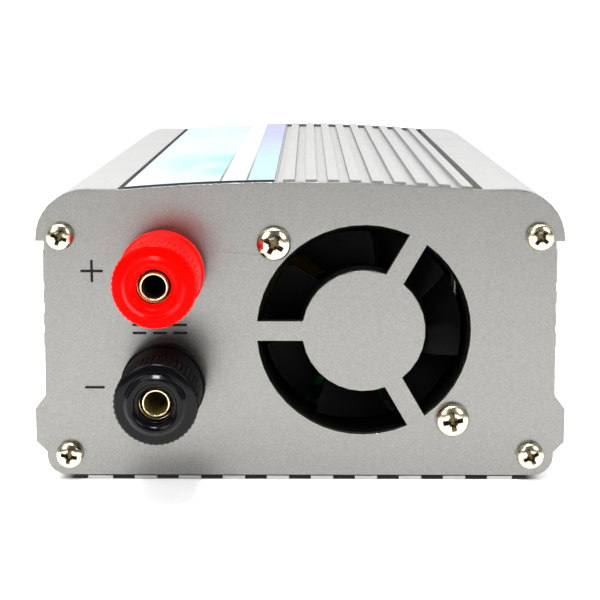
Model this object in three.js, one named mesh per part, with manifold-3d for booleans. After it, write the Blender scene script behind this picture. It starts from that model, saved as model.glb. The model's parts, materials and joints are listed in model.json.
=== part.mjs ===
// A small 12 V power inverter in an extruded aluminium case.
// Millimetres, +Z up. The front plate, with the fan and the two binding posts, faces -Y.
// Lengths along Y are measured from the front plate's outer face, and the finished model
// is moved at the end so that its origin is the middle of its bounding box's bottom face.

import * as THREE from 'three';
import { mergeVertices } from 'three/addons/utils/BufferGeometryUtils.js';
import Module from 'manifold-3d';

const wasm = await Module();
wasm.setup();

// ---------------------------------------------------------------- driving dimensions

const GAP = 0.3;
const SEAT = 0.1;

const CASE_LENGTH = 150;
const PLATE_THICKNESS = 1.5;
const SHELL_START = PLATE_THICKNESS + GAP;
const SHELL_END = CASE_LENGTH - SHELL_START;

const DOME = { crownZ: 55.33, radius: 368, halfWidth: 32.4, skin: 3.1 };
const SHOULDER = { x: 38.5, z: 44.9, radius: 9.1, innerRadius: 7.3 };
const LIP_Z = 44.7;
const WALL = { outerTop: 46.1, outerLow: 46.65, lowZ: 16, inner: 44.5, splitZ: 42.85 };
const BULGE = { x: 48.6, lowZ: 7.3, highZ: 13.6, footX: 46.7, footZ: 5.4 };
const BASE = { ribDrop: 1, cornerX: 43.1, cornerZ: 4.6, cornerRadius: 3.6, floorTop: 2.8 };

const TOP_RIBS = { pitch: 4, width: 2, perSide: 8, rise: 0.35, depth: 0.65 };
const EDGE_GROOVE = { innerX: 31, outerX: 32.9, floorZ: 50.6, backingZ: 49, backingHalf: 3.3 };
const BASE_GROOVES = {
  pitch: 8.17, width: 4.05, perSide: 4, endX: 40.1, endBevel: 0.8, toeHeight: 0.72, toeFront: 0.3,
};
const WALL_RIBS = { rise: 0.5, spans: [[24.95, 27.4], [28.9, 31.1], [33, 35.25], [36.9, 42.85]] };

const CHANNEL = { radius: 2.8, bore: 1.8 };
const CORNER_SCREWS = { upperX: 43, upperZ: 45.6, lowerX: 42.4, lowerZ: 5, hole: 1.8 };
const TONGUE = { innerX: 42.3, outerX: 43.9, lowZ: 38, highZ: 44 };

const LABEL = { leftX: -31.6, rightX: -4.6, thickness: 0.4, padDrop: 0.25, inset: 0.2, steps: 8 };

const FAN = {
  x: 11.65, z: 28.05, size: 40, depth: 10, cornerRadius: 3, bore: 19, holeOffset: 16.3, hole: 2.3,
  hub: 11.8, hubSkin: 1, hubDepth: 6.8, shaft: 0.9, motorSeatDepth: 1.6, strutDepth: 1.4, strutHalf: 1.5,
};
const BLADE = { count: 7, tip: 18, chord: 9, thickness: 0.9, pitch: 35 };
const STATOR = { bore: 1.2, tube: 2.6, tubeLength: 5.5, coil: 9.8, coilLength: 4.2, tubeEnd: 0.7 };
const GRILLE = { x: 11.6, z: 28.2, outer: 19.45, inner: 11.2, spoke: 3.6, spokeAngles: [60, 180, 300] };

const POST = {
  x: -24.45, redZ: 39.65, blackZ: 19.5, plateHole: 4.6, clearBore: 2.9,
  stud: 2.5, studBore: 2, studFront: -18.2, studBack: 10.5, boreDepth: 16, collar: 3.2, collarDepth: 0.8,
  base: 6.6, baseFront: -3.1, boss: 4.3, bossBack: 2.4, insulator: 7, insulatorDepth: 2.2,
};
const CAP = {
  back: -3.5, front: -19.4, rim: 7.55, rimFront: -5.8, waist: 7.2, blackOpening: 0.9,
  knurl: 7.27, knurlBack: -12.8, knurlFront: -18, teeth: 46, toothDepth: 0.28,
  crown: 5.4, mouth: 3.6, throat: 3.1, pocket: 3.6, pocketFront: -16.8, insertBack: -4.4,
};
const LUG = { thickness: 1, ring: 4.8, reach: 7.5, barrel: 2.9, bore: 2.3, barrelLength: 5, tongueHalf: 2 };
const NUT = { acrossCorners: 4.6, depth: 3.2 };
const LEAD = { radius: 1.9, sides: 8, steps: 18 };

const BOARD = { halfWidth: 46, z: 9.5, thickness: 1.6, startY: 16, endY: 118, slotDepth: 1.9, slotGap: 0.35 };
const BOARD_TOP = BOARD.z + BOARD.thickness;

const TRANSFORMER = {
  x: 0, frontY: 58, rearY: 88, width: 34, depth: 12, height: 29,
  legGap: [5, 11], windowLow: 5.5, windowHigh: 23.5, coilWidth: 21, coilDepth: 23, coilLow: 6, coilHigh: 23,
};
const CANS = [
  { name: 'input_capacitor_left', x: -26, y: 45, radius: 6.5, height: 25 },
  { name: 'input_capacitor_right', x: -26, y: 62, radius: 6.5, height: 25 },
  { name: 'output_capacitor', x: 27, y: 84, radius: 9, height: 30 },
];
const INDUCTOR = { x: -27, y: 100, outer: 11, inner: 5, height: 9 };
const FUSE = { x: 8, frontY: 26, rearY: 36, halfWidth: 9.5, halfDepth: 2.6, low: 8, high: 17 };
const TRANSISTOR = { places: [60, 74], halfDepth: 2.3, halfWidth: 5, low: 5, high: 14, tabTop: 20 };
const CLAMP = { startY: 52, endY: 82, thickness: 3, low: 7, high: 12 };

const OUTLET = {
  x: -17, z: 29, flange: 22, flangeRise: 2.2, body: 21, recess: 19.65, recessDepth: 17.5, floor: 4,
  pinSpacing: 19, pinHole: 2.5, clipReach: 17.6, clipThickness: 0.8, clipWidth: 4,
};
const SWITCH = {
  x: 24, z: 29, bezelWidth: 15, bezelHeight: 21.5, bezelRise: 2, bodyWidth: 12.9, bodyHeight: 19.2,
  bodyDepth: 12, openingWidth: 11.4, openingHeight: 18.2, wellDepth: 7, tabSpacing: 9.4, tabLength: 7,
};
const ROCKER = {
  pivotDepth: 3.5, width: 10.8, tilt: 10, halfHeight: 8.2, faceMiddle: 2.6, faceEnd: 4.6, stem: 2,
};
const LED = { radius: 2.5, z: 46, powerX: 19.5, faultX: 28.5, rise: 3, collar: 0.5, collarDepth: 1 };
const VENTS = { count: 6, pitch: 4.2, width: 2, lowZ: 6.5, highZ: 14.5, x: 22 };

// ---------------------------------------------------------------- materials

function material(color, metalness, roughness) {
  return new THREE.MeshStandardMaterial({ color, metalness, roughness });
}

const aluminium = material(0xc9cccb, 0.7, 0.45);
const coatedPlate = material(0xa9aaa6, 0.5, 0.55);
const zincSteel = material(0xcfc6a0, 0.9, 0.3);
const labelFilm = material(0xdff4f6, 0, 0.3);
const blackPlastic = material(0x17181a, 0, 0.45);
const redPlastic = material(0xe01010, 0, 0.25);
const darkGloss = material(0x1d1e21, 0, 0.25);
const brass = material(0xc2a35a, 0.9, 0.3);
const copper = material(0xb06a3a, 0.8, 0.4);
const ferrite = material(0x3a3c40, 0, 0.7);
const boardGreen = material(0x1f5d3a, 0, 0.5);
const tapeYellow = material(0xd6b63c, 0, 0.6);
const sleeveBlue = material(0x27406f, 0, 0.4);
const fuseGreen = material(0x4fa85a, 0, 0.35);
const greenLens = material(0x39c860, 0, 0.15);
const redLens = material(0xd8352c, 0, 0.15);

// ---------------------------------------------------------------- solid helpers

const radians = THREE.MathUtils.degToRad;

function signedVolume(positions, indices) {
  const [a, b, c] = [new THREE.Vector3(), new THREE.Vector3(), new THREE.Vector3()];
  let volume = 0;
  for (let i = 0; i < indices.length; i += 3) {
    a.fromArray(positions, 3 * indices[i]);
    b.fromArray(positions, 3 * indices[i + 1]);
    c.fromArray(positions, 3 * indices[i + 2]);
    volume += a.dot(b.cross(c)) / 6;
  }
  return volume;
}

function toSolid(geometry) {
  const bare = geometry.clone();
  bare.deleteAttribute('normal');
  bare.deleteAttribute('uv');
  const merged = mergeVertices(bare, 1e-4);
  const positions = merged.attributes.position.array;
  const corners = [];
  for (let i = 0; i < merged.index.count; i += 3) {
    const [p, q, r] = [merged.index.getX(i), merged.index.getX(i + 1), merged.index.getX(i + 2)];
    if (p !== q && q !== r && r !== p) {
      corners.push(p, q, r);
    }
  }
  if (signedVolume(positions, corners) < 0) {
    corners.reverse();
  }
  const mesh = new wasm.Mesh({
    numProp: 3,
    vertProperties: new Float32Array(positions),
    triVerts: new Uint32Array(corners),
  });
  mesh.merge();
  return new wasm.Manifold(mesh);
}

function toGeometry(solid) {
  const mesh = solid.getMesh();
  const geometry = new THREE.BufferGeometry();
  geometry.setAttribute('position', new THREE.BufferAttribute(new Float32Array(mesh.vertProperties), 3));
  geometry.setIndex(new THREE.BufferAttribute(new Uint32Array(mesh.triVerts), 1));
  geometry.computeVertexNormals();
  return geometry;
}

function join(first, ...others) {
  return toGeometry(others.reduce((sum, other) => sum.add(toSolid(other)), toSolid(first)));
}

function cut(first, ...tools) {
  return toGeometry(tools.reduce((rest, tool) => rest.subtract(toSolid(tool)), toSolid(first)));
}

function extrude(shape, depth) {
  return new THREE.ExtrudeGeometry(shape, { depth, bevelEnabled: false });
}

// A profile drawn in (X, Z), extruded along Y.
function prismY(shape, startY, endY) {
  return extrude(shape, endY - startY).rotateX(Math.PI / 2).translate(0, endY, 0);
}

// A profile drawn in (Y, Z), extruded along X.
function prismX(shape, startX, endX) {
  const turn = new THREE.Matrix4().makeBasis(
    new THREE.Vector3(0, 1, 0),
    new THREE.Vector3(0, 0, 1),
    new THREE.Vector3(1, 0, 0),
  );
  return extrude(shape, endX - startX).applyMatrix4(turn).translate(startX, 0, 0);
}

function prismZ(shape, startZ, endZ) {
  return extrude(shape, endZ - startZ).translate(0, 0, startZ);
}

// A solid of revolution about Y, from [radius, y] pairs.
function turned(profile, segments = 24) {
  const points = profile.map(([radius, y]) => new THREE.Vector2(radius, y));
  if (profile[0][0] > 0) {
    points.push(points[0].clone());
  }
  return new THREE.LatheGeometry(points, segments);
}

function rodY(radius, startY, endY, segments = 16) {
  const middleY = (startY + endY) / 2;
  return new THREE.CylinderGeometry(radius, radius, endY - startY, segments).translate(0, middleY, 0);
}

function box(lowX, highX, lowY, highY, lowZ, highZ) {
  return new THREE.BoxGeometry(highX - lowX, highY - lowY, highZ - lowZ)
    .translate((lowX + highX) / 2, (lowY + highY) / 2, (lowZ + highZ) / 2);
}

function outline(points) {
  return new THREE.Shape(points.map(([x, z]) => new THREE.Vector2(x, z)));
}

function arc(x, z, radius, startAngle, endAngle, steps) {
  return Array.from({ length: steps + 1 }, (_, step) => {
    const angle = radians(startAngle + (endAngle - startAngle) * step / steps);
    return [x + radius * Math.cos(angle), z + radius * Math.sin(angle)];
  });
}

// The right half of an outline, from bottom to top, with its mirror image.
function mirrored(rightHalf) {
  const leftHalf = rightHalf.map(([x, z]) => [-x, z]).reverse();
  return outline([...rightHalf, ...leftHalf.filter(([x]) => x < 0)]);
}

function roundedRectangle(x, z, width, height, radius) {
  const [halfX, halfZ] = [width / 2 - radius, height / 2 - radius];
  return outline([
    ...arc(x + halfX, z + halfZ, radius, 0, 90, 3),
    ...arc(x - halfX, z + halfZ, radius, 90, 180, 3),
    ...arc(x - halfX, z - halfZ, radius, 180, 270, 3),
    ...arc(x + halfX, z - halfZ, radius, 270, 360, 3),
  ]);
}

function circleHole(shape, x, z, radius, segments = 12) {
  shape.holes.push(outline(arc(x, z, radius, 0, 360, segments).slice(0, -1)));
}

const inverter = new THREE.Group();

function addPart(name, geometry, surface, x = 0, y = 0, z = 0) {
  const mesh = new THREE.Mesh(toGeometry(toSolid(geometry)), surface);
  mesh.name = name;
  mesh.position.set(x, y, z);
  inverter.add(mesh);
  return mesh;
}

// ---------------------------------------------------------------- case

function domeZ(x) {
  return DOME.crownZ - DOME.radius + Math.sqrt(DOME.radius ** 2 - x ** 2);
}

function wallX(z) {
  const slope = (WALL.outerTop - WALL.outerLow) / (LIP_Z - WALL.lowZ);
  return WALL.outerLow + slope * (z - WALL.lowZ);
}

const lowerCorner = [
  ...arc(BASE.cornerX, BASE.cornerZ, BASE.cornerRadius, -90, 0, 5),
  [BULGE.footX, BULGE.footZ],
  [BULGE.x, BULGE.lowZ],
  [BULGE.x, BULGE.highZ],
  [WALL.outerLow, WALL.lowZ],
];
const shoulderArc = arc(SHOULDER.x, SHOULDER.z, SHOULDER.radius, 0, 90, 8);

function endPlateShape() {
  const domeSteps = 5;
  const domeHalf = Array.from({ length: domeSteps + 1 }, (_, step) => {
    const x = DOME.halfWidth * (1 - step / domeSteps);
    return [x, domeZ(x)];
  });
  const lipEdge = [SHOULDER.x + SHOULDER.radius, LIP_Z];
  return mirrored([...lowerCorner, [WALL.outerTop, LIP_Z], lipEdge, ...shoulderArc, ...domeHalf]);
}

const cornerScrewPlaces = [
  ['upper_left', -CORNER_SCREWS.upperX, CORNER_SCREWS.upperZ, 20],
  ['upper_right', CORNER_SCREWS.upperX, CORNER_SCREWS.upperZ, 38],
  ['lower_left', -CORNER_SCREWS.lowerX, CORNER_SCREWS.lowerZ, 12],
  ['lower_right', CORNER_SCREWS.lowerX, CORNER_SCREWS.lowerZ, 62],
];

function grilleOpening(spokeAngle) {
  const outerTurn = THREE.MathUtils.radToDeg(Math.asin(GRILLE.spoke / 2 / GRILLE.outer));
  const innerTurn = THREE.MathUtils.radToDeg(Math.asin(GRILLE.spoke / 2 / GRILLE.inner));
  const nextSpoke = spokeAngle + 120;
  const points = [
    ...arc(GRILLE.x, GRILLE.z, GRILLE.outer, spokeAngle + outerTurn, nextSpoke - outerTurn, 14),
    ...arc(GRILLE.x, GRILLE.z, GRILLE.inner, nextSpoke - innerTurn, spokeAngle + innerTurn, 9),
  ];
  return new THREE.Path(points.map(([x, z]) => new THREE.Vector2(x, z)));
}

function cutCornerHoles(shape) {
  for (const [, x, z] of cornerScrewPlaces) {
    circleHole(shape, x, z, CORNER_SCREWS.hole);
  }
}

function buildFrontPlate() {
  const shape = endPlateShape();
  cutCornerHoles(shape);
  for (const spokeAngle of GRILLE.spokeAngles) {
    shape.holes.push(grilleOpening(spokeAngle));
  }
  for (const side of [-1, 1]) {
    circleHole(shape, FAN.x + side * FAN.holeOffset, FAN.z - side * FAN.holeOffset, FAN.hole);
  }
  for (const z of [POST.redZ, POST.blackZ]) {
    circleHole(shape, POST.x, z, POST.plateHole, 20);
  }
  addPart('front_plate', prismY(shape, 0, PLATE_THICKNESS), coatedPlate);
}

function buildRearPlate() {
  const shape = endPlateShape();
  cutCornerHoles(shape);
  circleHole(shape, OUTLET.x, OUTLET.z, OUTLET.body + GAP, 32);
  const [cutoutWidth, cutoutHeight] = [SWITCH.bodyWidth + 2 * GAP, SWITCH.bodyHeight + 2 * GAP];
  shape.holes.push(roundedRectangle(SWITCH.x, SWITCH.z, cutoutWidth, cutoutHeight, 0.6));
  for (const x of [LED.powerX, LED.faultX]) {
    circleHole(shape, x, LED.z, LED.radius + GAP);
  }
  const ventMiddle = (VENTS.lowZ + VENTS.highZ) / 2;
  const ventHeight = VENTS.highZ - VENTS.lowZ;
  for (let vent = 0; vent < VENTS.count; vent += 1) {
    const x = VENTS.x + (vent - (VENTS.count - 1) / 2) * VENTS.pitch;
    shape.holes.push(roundedRectangle(x, ventMiddle, VENTS.width, ventHeight, VENTS.width / 2));
  }
  addPart('rear_plate', prismY(shape, CASE_LENGTH - PLATE_THICKNESS, CASE_LENGTH), coatedPlate);
}

function coverRibs() {
  const points = [];
  for (let rib = TOP_RIBS.perSide - 1; rib >= 0; rib -= 1) {
    const centre = (rib + 0.5) * TOP_RIBS.pitch;
    const [outer, inner] = [centre + TOP_RIBS.width / 2, centre - TOP_RIBS.width / 2];
    if (rib < TOP_RIBS.perSide - 1) {
      points.push([outer, domeZ(outer) - TOP_RIBS.depth]);
    }
    points.push([outer, domeZ(outer) + TOP_RIBS.rise]);
    points.push([inner, domeZ(inner) + TOP_RIBS.rise]);
    points.push([inner, domeZ(inner) - TOP_RIBS.depth]);
  }
  return points;
}

// The flat pad under the label, from its right end to its left end. The ribs stop beside it.
function labelPad() {
  const start = LABEL.rightX + GAP;
  const end = -EDGE_GROOVE.innerX;
  const pad = Array.from({ length: LABEL.steps + 1 }, (_, step) => {
    const x = start + (end - start) * step / LABEL.steps;
    return [x, domeZ(x) - LABEL.padDrop];
  });
  return [[start, domeZ(start) - TOP_RIBS.depth], ...pad];
}

// The cover's skin as one loop: its outer side from right to left, then its inner side back.
function coverShape() {
  const flip = ([x, z]) => [-x, z];
  const grooveMiddle = (EDGE_GROOVE.innerX + EDGE_GROOVE.outerX) / 2;
  const rightOuter = [
    [WALL.outerTop, WALL.splitZ + GAP],
    [WALL.outerTop, LIP_Z],
    [SHOULDER.x + SHOULDER.radius, LIP_Z],
    ...shoulderArc,
    [EDGE_GROOVE.outerX, domeZ(DOME.halfWidth)],
    [EDGE_GROOVE.outerX, EDGE_GROOVE.floorZ],
    [EDGE_GROOVE.innerX, EDGE_GROOVE.floorZ],
  ];
  const ribs = coverRibs();
  const leftRibs = ribs.map(flip).reverse().filter(([x]) => x > LABEL.rightX);
  const backingOuter = grooveMiddle + EDGE_GROOVE.backingHalf;
  const backingInner = grooveMiddle - EDGE_GROOVE.backingHalf;
  const rightInner = [
    [WALL.inner, WALL.splitZ + GAP],
    [WALL.inner, SHOULDER.z],
    ...arc(SHOULDER.x, SHOULDER.z, SHOULDER.innerRadius, 0, 90, 8),
    [backingOuter, SHOULDER.z + SHOULDER.innerRadius],
    [backingOuter, EDGE_GROOVE.backingZ],
    [backingInner, EDGE_GROOVE.backingZ],
    [backingInner, domeZ(backingInner) - DOME.skin],
    [backingInner / 2, domeZ(backingInner / 2) - DOME.skin],
    [0, domeZ(0) - DOME.skin],
  ];
  return outline([
    ...rightOuter,
    ...ribs,
    ...leftRibs,
    ...labelPad(),
    ...rightOuter.map(flip).reverse(),
    ...rightInner.map(flip),
    ...rightInner.slice(0, -1).reverse(),
  ]);
}

function screwChannel(x, z) {
  return rodY(CHANNEL.radius, SHELL_START, SHELL_END, 16).translate(x, 0, z);
}

function channelBore(x, z) {
  return rodY(CHANNEL.bore, SHELL_START - 1, SHELL_END + 1, 12).translate(x, 0, z);
}

function buildTopCover() {
  const skin = prismY(coverShape(), SHELL_START, SHELL_END);
  const additions = [];
  const bores = [];
  for (const side of [-1, 1]) {
    const [near, far] = [TONGUE.innerX * side, TONGUE.outerX * side].sort((a, b) => a - b);
    additions.push(screwChannel(side * CORNER_SCREWS.upperX, CORNER_SCREWS.upperZ));
    additions.push(box(near, far, SHELL_START, SHELL_END, TONGUE.lowZ, TONGUE.highZ));
    bores.push(channelBore(side * CORNER_SCREWS.upperX, CORNER_SCREWS.upperZ));
  }
  addPart('top_cover', cut(join(skin, ...additions), ...bores), aluminium);
}

function baseGrooves() {
  const points = [[0, BASE.ribDrop]];
  for (let groove = 0; groove <= BASE_GROOVES.perSide; groove += 1) {
    const centre = groove * BASE_GROOVES.pitch;
    if (groove > 0) {
      points.push([centre - BASE_GROOVES.width / 2, 0], [centre - BASE_GROOVES.width / 2, BASE.ribDrop]);
    }
    points.push([centre + BASE_GROOVES.width / 2, BASE.ribDrop], [centre + BASE_GROOVES.width / 2, 0]);
  }
  points.push([BASE_GROOVES.endX - BASE_GROOVES.endBevel, 0], [BASE_GROOVES.endX, BASE.ribDrop]);
  return points;
}

function wallRibs() {
  const points = [];
  for (const [low, high] of WALL_RIBS.spans) {
    points.push([wallX(low), low], [wallX(low) + WALL_RIBS.rise, low]);
    points.push([wallX(high) + WALL_RIBS.rise, high], [wallX(high), high]);
  }
  return points.slice(0, -1);
}

function trayShape() {
  const slotLow = BOARD.z - BOARD.slotGap;
  const slotHigh = BOARD_TOP + BOARD.slotGap;
  const right = [
    ...baseGrooves(),
    ...lowerCorner,
    ...wallRibs(),
    [WALL.inner, WALL.splitZ],
    [WALL.inner, slotHigh],
    [WALL.inner + BOARD.slotDepth, slotHigh],
    [WALL.inner + BOARD.slotDepth, slotLow],
    [WALL.inner, slotLow],
    [WALL.inner, BASE.floorTop],
    [0, BASE.floorTop],
  ];
  const left = right.slice(1, -1).map(([x, z]) => [-x, z]).reverse();
  return outline([...right, ...left]);
}

// The base ribs run on a little under both end plates, as toes.
function baseToes() {
  const { pitch, width, perSide, endX, endBevel, toeHeight, toeFront } = BASE_GROOVES;
  const toes = [];
  for (let rib = 0; rib <= perSide; rib += 1) {
    const near = rib * pitch + width / 2;
    const far = rib < perSide ? near + pitch - width : endX - endBevel;
    for (const [low, high] of [[near, far], [-far, -near]]) {
      toes.push(box(low, high, toeFront, SHELL_START + 1, 0, toeHeight));
      toes.push(box(low, high, SHELL_END - 1, CASE_LENGTH - toeFront, 0, toeHeight));
    }
  }
  return toes;
}

function buildBottomTray() {
  const floor = prismY(trayShape(), SHELL_START, SHELL_END);
  const places = [-CORNER_SCREWS.lowerX, CORNER_SCREWS.lowerX];
  const channels = places.map((x) => screwChannel(x, CORNER_SCREWS.lowerZ));
  const bores = places.map((x) => channelBore(x, CORNER_SCREWS.lowerZ));
  addPart('bottom_tray', cut(join(floor, ...baseToes(), ...channels), ...bores), aluminium);
}

function buildLabelPlate() {
  const underside = [];
  const topside = [];
  for (let step = 0; step <= LABEL.steps; step += 1) {
    const x = LABEL.leftX + (LABEL.rightX - LABEL.leftX) * step / LABEL.steps;
    const z = domeZ(x) - LABEL.padDrop + SEAT;
    underside.push([x, z]);
    topside.unshift([x, z + LABEL.thickness]);
  }
  const section = outline([...underside, ...topside]);
  addPart('label_plate', prismY(section, SHELL_START + LABEL.inset, SHELL_END - LABEL.inset), labelFilm);
}

// ---------------------------------------------------------------- screws

// A cross-recessed pan-head screw: its head lies on the -Y side of its seat at y = 0.
function panHeadScrew({ head, height, shank, length, recess, slot }) {
  const rimHeight = height * 0.4;
  const profile = [
    [0, -height],
    [head * 0.55, -height * 0.94],
    [head * 0.85, -height * 0.72],
    [head, -rimHeight],
    [head, 0],
    [shank, 0],
    [shank, length - shank],
    [0, length],
  ];
  const arms = [
    box(-recess, recess, -height - 1, -height * 0.4, -slot / 2, slot / 2),
    box(-slot / 2, slot / 2, -height - 1, -height * 0.4, -recess, recess),
  ];
  return cut(turned(profile, 14), ...arms);
}

const cornerScrew = panHeadScrew({ head: 2.5, height: 2, shank: 1.5, length: 11, recess: 1.45, slot: 0.6 });
const fanScrew = panHeadScrew({ head: 3.13, height: 2.3, shank: 1.95, length: 10, recess: 1.85, slot: 0.75 });

function buildCornerScrews() {
  for (const [corner, x, z, turn] of cornerScrewPlaces) {
    const front = addPart(`front_screw_${corner}`, cornerScrew, zincSteel, x, -SEAT, z);
    front.rotation.y = radians(turn);
    const rear = addPart(`rear_screw_${corner}`, cornerScrew, zincSteel, x, CASE_LENGTH + SEAT, z);
    rear.rotation.set(Math.PI, radians(turn), 0);
  }
}

// ---------------------------------------------------------------- fan

const fanFront = PLATE_THICKNESS + GAP;
const fanBack = fanFront + FAN.depth;
const statorBack = fanBack - FAN.motorSeatDepth - GAP;

function buildFanFrame() {
  const square = roundedRectangle(0, 0, FAN.size, FAN.size, FAN.cornerRadius);
  circleHole(square, 0, 0, FAN.bore, 32);
  for (const [sideX, sideZ] of [[-1, -1], [-1, 1], [1, -1], [1, 1]]) {
    circleHole(square, sideX * FAN.holeOffset, sideZ * FAN.holeOffset, FAN.hole);
  }
  const ring = prismY(square, fanFront, fanBack);
  const motorSeat = rodY(FAN.hub - 0.2, fanBack - FAN.motorSeatDepth, fanBack, 24);
  const strutFront = fanBack - FAN.strutDepth;
  const strut = box(FAN.hub - 1, FAN.bore + 0.4, strutFront, fanBack, -FAN.strutHalf, FAN.strutHalf);
  const struts = [30, 150, 270].map((angle) => strut.clone().rotateY(radians(angle)));
  addPart('fan_frame', join(ring, motorSeat, ...struts), blackPlastic, FAN.x, 0, FAN.z);
}

function buildFanStator() {
  const tubeFront = statorBack - STATOR.tubeLength;
  const coilBack = statorBack - STATOR.tubeEnd;
  const coilFront = coilBack - STATOR.coilLength;
  addPart('fan_stator', turned([
    [STATOR.bore, tubeFront],
    [STATOR.tube, tubeFront],
    [STATOR.tube, coilFront],
    [STATOR.coil, coilFront],
    [STATOR.coil, coilBack],
    [STATOR.tube, coilBack],
    [STATOR.tube, statorBack],
    [STATOR.bore, statorBack],
  ], 16), copper, FAN.x, 0, FAN.z);
}

function buildFanRotor() {
  const hubFront = fanFront + 0.8;
  const hubBack = hubFront + FAN.hubDepth;
  const cupFloor = hubFront + FAN.hubSkin;
  const cupWall = FAN.hub - FAN.hubSkin;
  const hub = turned([
    [0, hubFront],
    [FAN.hub - 0.8, hubFront],
    [FAN.hub, hubFront + 0.8],
    [FAN.hub, hubBack],
    [cupWall, hubBack],
    [cupWall, cupFloor],
    [FAN.shaft, cupFloor],
    [FAN.shaft, statorBack],
    [0, statorBack],
  ], 24);
  const [halfThickness, halfChord] = [BLADE.thickness / 2, BLADE.chord / 2];
  const blade = box(FAN.hub - 0.6, BLADE.tip, -halfThickness, halfThickness, -halfChord, halfChord)
    .rotateX(radians(BLADE.pitch))
    .translate(0, (hubFront + hubBack) / 2, 0);
  const blades = Array.from({ length: BLADE.count }, (_, index) => (
    blade.clone().rotateY(2 * Math.PI * index / BLADE.count)
  ));
  addPart('fan_rotor', join(hub, ...blades), blackPlastic, FAN.x, 0, FAN.z);
}

function buildFanScrews() {
  for (const [name, side, turn] of [['fan_screw_upper', -1, 30], ['fan_screw_lower', 1, 80]]) {
    const [x, z] = [FAN.x + side * FAN.holeOffset, FAN.z - side * FAN.holeOffset];
    addPart(name, fanScrew, zincSteel, x, -SEAT, z).rotation.y = radians(turn);
  }
}

// ---------------------------------------------------------------- binding posts

// A fine-toothed collar, as a star-shaped prism.
function knurledCollar() {
  const points = [];
  for (let corner = 0; corner < 2 * CAP.teeth; corner += 1) {
    const radius = corner % 2 === 0 ? CAP.knurl : CAP.knurl - CAP.toothDepth;
    const angle = Math.PI * corner / CAP.teeth;
    points.push([radius * Math.cos(angle), radius * Math.sin(angle)]);
  }
  return prismY(outline(points), CAP.knurlFront, CAP.knurlBack);
}

function capGeometry() {
  const root = CAP.knurl - CAP.toothDepth - 0.1;
  const body = turned([
    [CAP.pocket, CAP.back],
    [CAP.rim - 0.4, CAP.back],
    [CAP.rim, CAP.back - 0.5],
    [CAP.rim, CAP.rimFront],
    [CAP.waist, CAP.rimFront - 0.4],
    [CAP.waist, CAP.knurlBack],
    [root, CAP.knurlBack],
    [root, CAP.knurlFront],
    [CAP.crown + 1.1, CAP.front + 0.7],
    [CAP.crown, CAP.front + 0.3],
    [CAP.crown - 0.2, CAP.front],
    [CAP.mouth, CAP.front],
    [CAP.throat, CAP.front + 1.2],
    [CAP.throat, CAP.pocketFront],
    [CAP.pocket, CAP.pocketFront],
  ]);
  const core = rodY(root - 0.5, CAP.knurlFront - 1, CAP.knurlBack + 1, 12);
  return join(body, cut(knurledCollar(), core));
}

const capShape = capGeometry();

const postBase = turned([
  [POST.clearBore, POST.baseFront],
  [POST.base - 0.4, POST.baseFront],
  [POST.base, POST.baseFront + 0.5],
  [POST.base, -SEAT],
  [POST.boss, -SEAT],
  [POST.boss, POST.bossBack],
  [POST.clearBore, POST.bossBack],
]);

const studSocketFloor = POST.studFront + POST.boreDepth;
const collarBack = POST.baseFront - SEAT;
const collarFront = collarBack - POST.collarDepth;
const stud = turned([
  [0, studSocketFloor],
  [POST.studBore, studSocketFloor],
  [POST.studBore, POST.studFront],
  [POST.stud, POST.studFront],
  [POST.stud, collarFront],
  [POST.collar, collarFront],
  [POST.collar, collarBack],
  [POST.stud, collarBack],
  [POST.stud, POST.studBack],
  [0, POST.studBack],
], 20);

const capInsert = turned([
  [POST.stud + GAP, CAP.pocketFront + GAP],
  [CAP.pocket - GAP, CAP.pocketFront + GAP],
  [CAP.pocket - GAP, CAP.insertBack],
  [POST.stud + GAP, CAP.insertBack],
], 20);

const insulatorFront = PLATE_THICKNESS + SEAT;
const insulatorBack = insulatorFront + POST.insulatorDepth;
const insulator = turned([
  [POST.plateHole, insulatorFront],
  [POST.insulator, insulatorFront],
  [POST.insulator, insulatorBack],
  [POST.clearBore, insulatorBack],
  [POST.clearBore, POST.bossBack + GAP],
  [POST.plateHole, POST.bossBack + GAP],
], 16);

const lugFront = insulatorBack + SEAT;
const lugBack = lugFront + LUG.thickness;
const barrelY = lugBack + LUG.bore;

// A rod along +X whose near end is at the lug's reach.
function lugRod(radius, start, end) {
  return rodY(radius, start, end, 12).rotateZ(-Math.PI / 2).translate(LUG.reach, barrelY, 0);
}

// A ring terminal whose barrel points along +X.
function lugGeometry() {
  const ring = rodY(LUG.ring, lugFront, lugBack, 16);
  const tongue = box(0, LUG.reach + 1, lugFront, lugBack, -LUG.tongueHalf, LUG.tongueHalf);
  const barrel = lugRod(LUG.barrel, 0, LUG.barrelLength);
  const socket = lugRod(LUG.bore, 1, LUG.barrelLength + 1);
  const studHole = rodY(POST.clearBore, lugFront - 1, lugBack + 1, 12);
  return cut(join(ring, tongue, barrel), socket, studHole);
}

const lugShape = lugGeometry();

function hexNut(bore, startY, endY) {
  return cut(rodY(NUT.acrossCorners, startY, endY, 6), rodY(bore, startY - 1, endY + 1, 12));
}

const nutFront = lugBack + SEAT;
const nut = hexNut(POST.stud + GAP, nutFront, nutFront + NUT.depth);

// A round lead through the given points.
function lead(points) {
  const extrudePath = new THREE.CatmullRomCurve3(points.map((point) => new THREE.Vector3(...point)));
  const section = outline(arc(0, 0, LEAD.radius, 0, 360, LEAD.sides).slice(0, -1));
  return new THREE.ExtrudeGeometry(section, { steps: LEAD.steps, extrudePath, bevelEnabled: false });
}

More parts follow.
